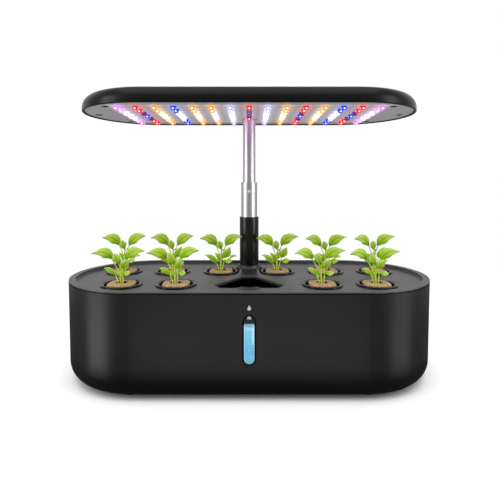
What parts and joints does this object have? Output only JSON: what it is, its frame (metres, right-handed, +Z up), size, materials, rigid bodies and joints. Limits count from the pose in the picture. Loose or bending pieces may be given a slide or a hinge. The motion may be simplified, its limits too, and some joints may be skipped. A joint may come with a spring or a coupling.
{
  "type": "countertop hydroponic garden",
  "caption": "Stadium-shaped black water tank with a lift-off planting deck, net cups with seedlings, and an LED grow lamp on a telescopic pole.",
  "frame": {"origin": "on the table, under the centre of the base", "axes": "+X along the base's long side, -Y towards the front with the water gauge, +Z up"},
  "size_m": [0.358, 0.153, 0.2739],
  "materials": {
    "tank_plastic": "matt moulded black",
    "deck_plastic": "fine-grained matt black",
    "lamp_plastic": "satin black",
    "foot_rubber": "matt",
    "gauge_plastic": "gloss black",
    "gauge_window": "clear moulded acrylic",
    "gasket_rubber": "matt",
    "socket_plastic": "gloss black",
    "pump_plastic": "satin dark grey",
    "pump_ceramic": "ground white",
    "impeller_magnet": "dark grey",
    "filter_foam": "open-cell black foam",
    "tube_black": "satin black",
    "tube_silver": "satin anodised",
    "bush_plastic": "satin black",
    "rivet_steel": "polished",
    "board_metal": "pale grey solder mask",
    "screw_steel": "blackened",
    "circuit_board": "green solder mask",
    "button_plastic": "satin black",
    "led_red": "lit",
    "led_blue": "lit",
    "led_white": "lit",
    "led_amber": "lit",
    "led_violet": "lit",
    "basket_plastic": "gloss black",
    "growing_sponge": "brown open-cell foam",
    "leaf": "soft satin leaf"
  },
  "bodies": {
    "tank": {"reservoir_shell": "tank_plastic", "rubber_feet": "foot_rubber", "gauge_housing": "gauge_plastic", "gauge_lens": "gauge_window", "gauge_gasket": "gasket_rubber", "power_socket": "socket_plastic", "pump_housing": "pump_plastic", "pump_shaft": "pump_ceramic", "pump_cover": "pump_plastic", "pump_filter": "filter_foam", "pump_suction_cups": "gasket_rubber"},
    "impeller": {"pump_impeller": "impeller_magnet"},
    "deck": {"planting_deck": "deck_plastic", "pole_base_tube": "tube_black", "lower_pole_bush": "bush_plastic"},
    "middle_pole": {"pole_middle_tube": "tube_silver", "upper_pole_bush": "bush_plastic", "bush_rivet": "rivet_steel"},
    "lamp": {"pole_top_tube": "tube_silver", "lamp_housing": "lamp_plastic", "led_board": "board_metal", "leds_red": "led_red", "leds_blue": "led_blue", "leds_white": "led_white", "leds_amber": "led_amber", "leds_violet": "led_violet", "lamp_screws": "screw_steel", "pole_bracket": "bush_plastic", "driver_board": "circuit_board"},
    "button": {"lamp_button": "button_plastic"},
    "pod_01": {"basket_01": "basket_plastic", "sponge_01": "growing_sponge", "seedling_01": "leaf"},
    "pod_02": {"basket_02": "basket_plastic", "sponge_02": "growing_sponge", "seedling_02": "leaf"},
    "pod_03": {"basket_03": "basket_plastic", "sponge_03": "growing_sponge", "seedling_03": "leaf"},
    "pod_04": {"basket_04": "basket_plastic", "sponge_04": "growing_sponge", "seedling_04": "leaf"},
    "pod_05": {"basket_05": "basket_plastic", "sponge_05": "growing_sponge", "seedling_05": "leaf"},
    "pod_06": {"basket_06": "basket_plastic", "sponge_06": "growing_sponge", "seedling_06": "leaf"},
    "pod_07": {"basket_07": "basket_plastic", "sponge_07": "growing_sponge", "seedling_07": "leaf"},
    "pod_08": {"basket_08": "basket_plastic", "sponge_08": "growing_sponge", "seedling_08": "leaf"},
    "pod_09": {"basket_09": "basket_plastic", "sponge_09": "growing_sponge", "seedling_09": "leaf"},
    "pod_10": {"basket_10": "basket_plastic", "sponge_10": "growing_sponge", "seedling_10": "leaf"}
  },
  "joints": [
    {"name": "deck_lift", "type": "slide", "parent": "tank", "child": "deck", "axis": [0, 0, 1], "range_m": [0, 0.075]},
    {"name": "pole_lower_slide", "type": "slide", "parent": "deck", "child": "middle_pole", "axis": [0, 0, 1], "range_m": [-0.026, 0.046]},
    {"name": "pole_upper_slide", "type": "slide", "parent": "middle_pole", "child": "lamp", "axis": [0, 0, 1], "range_m": [-0.058, 0.04]},
    {"name": "button_press", "type": "slide", "parent": "lamp", "child": "button", "axis": [0, 0, -1], "range_m": [0, 0.0008], "stiffness_N_per_m": 500, "springref_m": -0.0008},
    {"name": "impeller_spin", "type": "hinge", "parent": "tank", "child": "impeller", "pos_m": [-0.104, 0, 0.0196], "axis": [1, 0, 0], "continuous": true},
    {"name": "pod_01_lift", "type": "slide", "parent": "deck", "child": "pod_01", "axis": [0, 0, 1], "range_m": [0, 0.06]},
    {"name": "pod_02_lift", "type": "slide", "parent": "deck", "child": "pod_02", "axis": [0, 0, 1], "range_m": [0, 0.06]},
    {"name": "pod_03_lift", "type": "slide", "parent": "deck", "child": "pod_03", "axis": [0, 0, 1], "range_m": [0, 0.06]},
    {"name": "pod_04_lift", "type": "slide", "parent": "deck", "child": "pod_04", "axis": [0, 0, 1], "range_m": [0, 0.06]},
    {"name": "pod_05_lift", "type": "slide", "parent": "deck", "child": "pod_05", "axis": [0, 0, 1], "range_m": [0, 0.06]},
    {"name": "pod_06_lift", "type": "slide", "parent": "deck", "child": "pod_06", "axis": [0, 0, 1], "range_m": [0, 0.06]},
    {"name": "pod_07_lift", "type": "slide", "parent": "deck", "child": "pod_07", "axis": [0, 0, 1], "range_m": [0, 0.06]},
    {"name": "pod_08_lift", "type": "slide", "parent": "deck", "child": "pod_08", "axis": [0, 0, 1], "range_m": [0, 0.06]},
    {"name": "pod_09_lift", "type": "slide", "parent": "deck", "child": "pod_09", "axis": [0, 0, 1], "range_m": [0, 0.06]},
    {"name": "pod_10_lift", "type": "slide", "parent": "deck", "child": "pod_10", "axis": [0, 0, 1], "range_m": [0, 0.06]}
  ]
}
